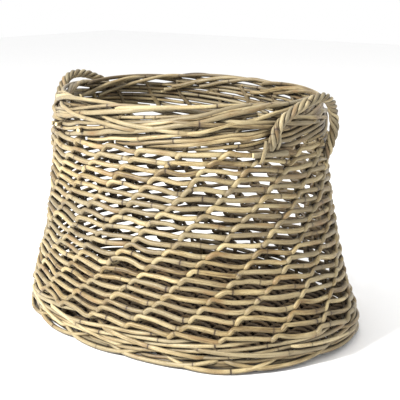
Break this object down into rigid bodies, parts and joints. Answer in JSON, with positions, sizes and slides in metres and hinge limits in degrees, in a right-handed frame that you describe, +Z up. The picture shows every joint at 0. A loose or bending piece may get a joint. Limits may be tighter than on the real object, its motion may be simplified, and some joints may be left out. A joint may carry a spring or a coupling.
{
  "type": "wicker log basket",
  "caption": "Large oval log basket, wider at the foot than the mouth, openly woven from whole round canes, with a twisted rope handle at each end.",
  "frame": {"origin": "centre of the footprint, on the ground plane", "axes": "+Z up out of the mouth, +X along the long way of the oval towards the right handle, -Y the front"},
  "size_m": [0.6462, 0.4714, 0.416],
  "materials": {
    "side_cane": "satin whole cane, buff to honey, with dark joints",
    "wale_cane": "satin whole cane, slightly greyer",
    "border_cane": "satin whole cane",
    "base_cane": "dull whole cane, browner",
    "handle_cane": "satin whole cane, twisted",
    "dark_cane": "dull dark grey-brown cane"
  },
  "bodies": {
    "root": {"side_strand_01": "side_cane", "side_strand_02": "side_cane", "side_strand_03": "side_cane", "side_strand_04": "side_cane", "side_strand_05": "side_cane", "side_strand_06": "side_cane", "side_strand_07": "side_cane", "side_strand_08": "side_cane", "side_strand_09": "side_cane", "side_strand_10": "side_cane", "side_strand_11": "side_cane", "side_strand_12": "side_cane", "side_strand_13": "side_cane", "side_strand_14": "side_cane", "side_strand_15": "side_cane", "side_strand_16": "side_cane", "side_strand_17": "side_cane", "side_strand_18": "side_cane", "side_strand_19": "side_cane", "side_strand_20": "side_cane", "side_strand_21": "side_cane", "side_strand_22": "side_cane", "foot_border": "border_cane", "bottom_wale_1": "wale_cane", "bottom_wale_2": "wale_cane", "bottom_wale_3": "wale_cane", "upper_wale_1": "wale_cane", "upper_wale_2": "wale_cane", "upper_wale_3": "wale_cane", "upper_wale_4": "wale_cane", "rim_border_outer": "border_cane", "rim_border_inner": "border_cane", "rim_dark_cane": "dark_cane", "base_stick_long_1": "base_cane", "base_stick_long_2": "base_cane", "base_stick_long_3": "base_cane", "base_stick_long_4": "base_cane", "base_stick_long_5": "base_cane", "base_stick_cross_1": "base_cane", "base_stick_cross_2": "base_cane", "base_stick_cross_3": "base_cane", "base_stick_cross_4": "base_cane", "base_stick_cross_5": "base_cane", "base_stick_cross_6": "base_cane", "base_stick_cross_7": "base_cane", "base_weave_1": "base_cane", "base_weave_2": "base_cane", "base_weave_3": "base_cane", "base_weave_4": "base_cane", "base_weave_5": "base_cane", "handle_right_rope_1": "handle_cane", "handle_right_rope_2": "handle_cane", "handle_right_rope_3": "handle_cane", "handle_right_rod": "handle_cane", "handle_left_rope_1": "handle_cane", "handle_left_rope_2": "handle_cane", "handle_left_rope_3": "handle_cane", "handle_left_rod": "handle_cane", "cut_end_1": "wale_cane", "cut_end_2": "wale_cane"}
  },
  "joints": []
}
